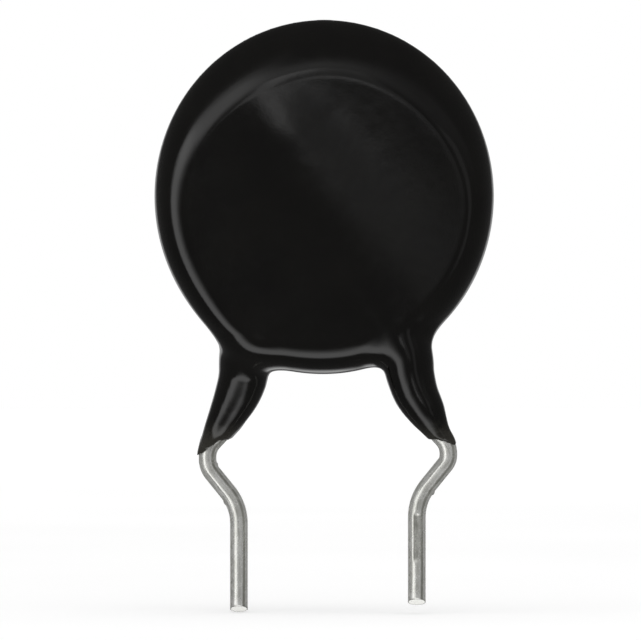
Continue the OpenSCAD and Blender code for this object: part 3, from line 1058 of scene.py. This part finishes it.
@dataclass(frozen=True)
class FloorFinish:
    """A pale, matt floor that glows a little where it is seen, and fades to white far away."""

    dark: Color = (0.80, 0.80, 0.80)
    light: Color = (0.84, 0.84, 0.84)
    cloud: float = 0.02
    roughness: float = 0.9
    specular: float = 0.1
    glow_near: float = 0.29
    glow_far: float = 0.42
    fade: Span = (30.0, 500.0)

    def material(self) -> Shader:
        """Builds the material.

        Returns:
            The material's nodes.
        """
        shader = Shader("pale_floor")
        place = shader.place()
        cloud = shader.noise(place, self.cloud, 2.0)
        shader.set(
            Base_Color=shader.ramp(cloud, NOISE_SPAN, (self.dark, self.light)),
            Roughness=self.roughness,
            Specular_IOR_Level=self.specular,
        )
        path = shader.node("LightPath").outputs
        seen = shader.math("MAXIMUM", path["Is Camera Ray"], path["Is Transmission Ray"])
        away = shader.node("VectorMath", operation="LENGTH")
        shader.link(place, away.inputs[0])
        lit = shader.step(away.outputs["Value"], self.fade, self.glow_near, self.glow_far)
        glow = shader.node("Emission")
        shader.link(shader.math("MULTIPLY", seen, lit), glow.inputs["Strength"])
        add = shader.node("AddShader")
        shader.link(shader.surface.outputs["BSDF"], add.inputs[0])
        shader.link(glow.outputs["Emission"], add.inputs[1])
        shader.link(add.outputs["Shader"], shader.tree.nodes["Material Output"].inputs["Surface"])
        return shader


@dataclass
class HiddenParts:
    """The ceramic disc, its silver and its solder, which keep their CAD shapes."""

    ceramic: GrainFinish = GrainFinish(
        "sintered_zinc_oxide", (0.05, 0.06, 0.055), (0.11, 0.12, 0.11), (0.6, 0.8), 7.0, 0.01
    )
    silver: GrainFinish = GrainFinish(
        "fired_silver", (0.62, 0.61, 0.57), (0.8, 0.79, 0.76), (0.4, 0.6), 9.0, 0.004, 1.0
    )
    solder: GrainFinish = GrainFinish(
        "tin_solder", (0.5, 0.51, 0.52), (0.66, 0.67, 0.68), (0.22, 0.4), 2.0, 0.02, 1.0
    )

    def dress(self) -> list[str]:
        """Gives each hidden CAD node its finish.

        Returns:
            The nodes' names.
        """
        dressed = []
        for finish, nodes in (
            (self.ceramic, ("ceramic_disc",)),
            (self.silver, ("front_electrode", "rear_electrode")),
            (self.solder, ("front_solder", "rear_solder")),
        ):
            shader = finish.material()
            for node in nodes:
                shader.wear(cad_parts[node])
                dressed.append(node)
        return dressed


@dataclass(frozen=True)
class SoftLight:
    """A soft area lamp, placed by its direction as seen from the part."""

    name: str
    azimuth: float
    elevation: float
    distance: float
    width: float
    height: float
    radiance: float
    mirrored: bool = True

    def build(self, target: Vector) -> bpy.types.Object:
        """Places the lamp so that it faces the part.

        Args:
            target: The point that it faces, in metres.

        Returns:
            The lamp.
        """
        az, el = math.radians(self.azimuth), math.radians(self.elevation)
        way = Vector((math.sin(az) * math.cos(el), -math.cos(az) * math.cos(el), math.sin(el)))
        data = bpy.data.lights.new(self.name, "AREA")
        data.shape = "RECTANGLE"
        data.size = self.width
        data.size_y = self.height
        data.energy = self.radiance * math.pi * self.width * self.height
        lamp = bpy.data.objects.new(self.name, data)
        bpy.context.scene.collection.objects.link(lamp)
        lamp.visible_glossy = self.mirrored
        lamp.visible_camera = False
        lamp.location = target + way * self.distance
        lamp.rotation_euler = (-way).to_track_quat("-Z", "Y").to_euler()
        return lamp


@dataclass
class Studio:
    """The floor, the white surroundings, the lamps and the camera.

    The spans of the surroundings tell how far a direction points to the view, the back, up or
    aside, from -1 to 1. The floor reaches floor_half millimetres to each side.
    """

    pixels_per_mm: float = 22.8
    origin_px: Span = (327.6, 525.0)
    lens: float = 500.0
    sensor: float = 36.0
    ring_rise: Span = (0.45, 0.63)
    ring_fall: Span = (0.76, 0.97)
    ring_level: float = 1.55
    low_end: Span = (-0.3, 0.0)
    left_end: Span = (-0.5, -0.1)
    left_up: Span = (0.05, 0.5)
    left_upper: float = 0.4
    top_rise: Span = (0.15, 0.5)
    top_fall: Span = (0.64, 0.8)
    top_level: float = 0.4
    top_aside: Span = (-0.1, 0.5)
    top_right: float = 0.2
    room_level: float = 0.11
    back_rise: Span = (0.8, 0.92)
    back_fall: Span = (0.95, 0.99)
    back_up: Span = (-0.35, -0.15)
    back_level: float = 0.62
    back_rest: float = 0.2
    under_end: Span = (-0.6, -0.4)
    under_back: Span = (0.5, 0.8)
    under_aside: Span = (0.06, 0.2)
    under_level: float = 1.5
    soft_level: float = 0.75
    floor_half: float = 900.0
    floor_finish: FloorFinish = FloorFinish()
    lamps: tuple[SoftLight, ...] = (
        SoftLight("right_glow", 7.6, 6.0, 0.34, 0.045, 0.045, 0.14),
        SoftLight("right_edge", 28.0, 7.0, 0.34, 0.06, 0.16, 0.18),
        SoftLight("top_glow", -0.5, 8.2, 0.34, 0.046, 0.03, 0.8),
        SoftLight("top_left_glow", -8.0, 22.0, 0.34, 0.075, 0.15, 0.6),
        SoftLight("top_haze", 0.0, 22.0, 0.34, 0.12, 0.15, 0.2),
        SoftLight("overhead", 20.0, 78.0, 0.40, 0.30, 0.30, 1.0, False),
    )

    def floor(self, level: float) -> None:
        """Lays a pale floor that keeps the part's shadow.

        Args:
            level: Height of the floor, in metres.
        """
        corners = np.array([[-1, -1, 0], [1, -1, 0], [1, 1, 0], [-1, 1, 0]])
        ground = make_mesh("floor", corners * self.floor_half, [[0, 1, 2, 3]])
        ground.location.z = level
        ground.visible_glossy = False
        self.floor_finish.material().wear(ground)
        ground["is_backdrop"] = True

    def surroundings(self) -> None:
        """Makes the world that is looked at, that lights the part and that it mirrors.

        It is white where it is looked at, and even for soft light. For reflections it is a dim room
        with a ring of soft light about the view, in front and behind.
        """
        world = bpy.data.worlds.new("studio")
        bpy.context.scene.world = world
        world.use_nodes = True
        work = NodeWork(world.node_tree)
        work.tree.nodes.clear()
        split = work.node("SeparateXYZ")
        work.link(work.node("TexCoord").outputs["Generated"], split.inputs[0])
        across, deep, up = split.outputs
        ring = work.band(work.math("MULTIPLY", deep, -1.0), self.ring_rise, self.ring_fall)
        low = work.step(work.math("ADD", across, up), self.low_end, self.ring_level, 0.0)
        left = work.math(
            "MULTIPLY",
            work.step(across, self.left_end, self.ring_level, 0.0),
            work.step(up, self.left_up, 1.0, self.left_upper),
        )
        top = work.math(
            "MULTIPLY",
            work.band(up, self.top_rise, self.top_fall, self.top_level),
            work.step(across, self.top_aside, 1.0, self.top_right),
        )
        share = work.math("ADD", work.math("MAXIMUM", low, left), top)
        behind = work.math(
            "MULTIPLY",
            work.band(deep, self.back_rise, self.back_fall, self.back_level, self.back_rest),
            work.step(up, self.back_up),
        )
        under = work.math(
            "MULTIPLY",
            work.step(up, self.under_end, self.under_level, 0.0),
            work.step(deep, self.under_back),
        )
        aside = work.step(work.math("ABSOLUTE", across), self.under_aside, 1.0, 0.0)
        behind = work.math("MAXIMUM", behind, work.math("MULTIPLY", under, aside))
        level = work.math("ADD", work.math("MULTIPLY_ADD", ring, share, self.room_level), behind)
        lights = []
        for strength in (self.soft_level, level, 1.0):
            made = work.node("Background")
            made.inputs["Color"].default_value = (1.0, 1.0, 1.0, 1.0)
            work.link(strength, made.inputs["Strength"])
            lights.append(made.outputs[0])
        light, room, white = lights
        path = work.node("LightPath").outputs
        seen = work.math("MAXIMUM", path["Is Camera Ray"], path["Is Transmission Ray"])
        for fac, other in ((path["Is Glossy Ray"], room), (seen, white)):
            mix = work.node("MixShader")
            for target, output in zip(mix.inputs, (fac, light, other)):
                work.link(output, target)
            light = mix.outputs[0]
        work.link(light, work.node("OutputWorld").inputs["Surface"])

    def camera(self) -> None:
        """Sets the camera level with the part's middle, square to its front, as the photo's was."""
        data = bpy.data.cameras.new("camera")
        data.lens = self.lens
        data.sensor_width = self.sensor
        data.clip_start = 0.01
        wide = PHOTO_WIDTH_PX / self.pixels_per_mm
        away = self.lens * wide / self.sensor
        x = (PHOTO_WIDTH_PX / 2 - self.origin_px[0]) / self.pixels_per_mm
        z = (self.origin_px[1] - PHOTO_HEIGHT_PX / 2) / self.pixels_per_mm
        camera = bpy.data.objects.new("camera", data)
        bpy.context.scene.collection.objects.link(camera)
        camera.location = (x * MM, -away * MM, z * MM)
        camera.rotation_euler = (math.pi / 2, 0.0, 0.0)
        bpy.context.scene.camera = camera

    def build(self, low: Vector, high: Vector) -> None:
        """Sets up everything round the part.

        Args:
            low: Lowest corner of the part's box, in metres.
            high: Highest corner.
        """
        self.floor(low.z)
        self.surroundings()
        middle = (low + high) / 2
        for lamp in self.lamps:
            lamp.build(middle)
        self.camera()
        bpy.context.scene.view_settings.view_transform = "Standard"


def lead_forms() -> tuple[LeadForm, LeadForm]:
    """Gives the leads' forms, at the places that the CAD leads have.

    Returns:
        The left and the right lead's form.
    """
    low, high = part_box("left_lead")
    lead_y = (low.y + high.y) / 2 / MM
    left = LeadForm(Side.LEFT, LEFT_TIP_BELOW_CAD - low.z / MM, 2.92, 0.98, 0.98, lead_y=lead_y)
    low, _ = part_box("right_lead")
    right = LeadForm(Side.RIGHT, RIGHT_TIP_BELOW_CAD - low.z / MM, 3.12, 0.6, 0.92, lead_y=lead_y)
    return left, right


def leg_forms() -> tuple[LegForm, LegForm]:
    """Gives the forms of the coating on the leads.

    Returns:
        The left and the right leg's form.
    """
    left = LegForm(Side.LEFT, (LEFT_REAR, LEFT_FRONT), end_z=3.68, film=0.08, cut=32.0)
    right = LegForm(Side.RIGHT, (RIGHT_LEG,), end_z=3.72, film=0.03, cut=12.0)
    return left, right


def main() -> None:
    """Builds the part's looks and its studio."""
    logging.basicConfig(level=logging.INFO, format="%(message)s")
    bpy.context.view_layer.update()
    left, right = lead_forms()
    left_leg, right_leg = leg_forms()
    disc_low, disc_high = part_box("ceramic_disc")
    _, silver_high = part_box("rear_electrode")
    skin = EpoxySkin(
        left,
        right,
        left_leg,
        right_leg,
        disc_x=(disc_low.x + disc_high.x) / 2 / MM,
        disc_z=(disc_low.z + disc_high.z) / 2 / MM,
        disc_r=(disc_high.x - disc_low.x) / 2 / MM,
        face_y=silver_high.y / MM + COAT_OVER_SILVER,
    )
    piece = skin.build()
    EpoxyFinish().material().wear(piece)
    LOG.info("epoxy skin: %d faces", len(piece.data.polygons))

    tin = TinFinish().material()
    left_marks = (
        ToolMark(5.94, 0.75, -38.0, 0.016, 0.2),
        ToolMark(5.94, 0.75, 52.0, 0.014, 0.2),
        ToolMark(5.05, 0.1, -90.0, -0.03),
        ToolMark(6.77, 0.1, 90.0, -0.03),
    )
    right_marks = (
        ToolMark(2.97, 1.0, 4.0, 0.042),
        ToolMark(5.9, 0.8, -40.0, 0.016, 0.2),
        ToolMark(5.9, 0.8, 48.0, 0.018, 0.2),
        ToolMark(5.2, 0.09, 90.0, -0.05),
    )
    for lead in (
        TinnedLead(left, "left_wire", "left_lead", left_marks),
        TinnedLead(right, "right_wire", "right_lead", right_marks),
    ):
        piece = lead.build()
        tin.wear(piece)
        LOG.info("%s: %d faces", lead.name, len(piece.data.polygons))

    for node in HiddenParts().dress():
        LOG.info("%s: dressed", node)

    made_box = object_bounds()
    Studio().build(*map(Vector, made_box))


if __name__ == "__main__":
    main()
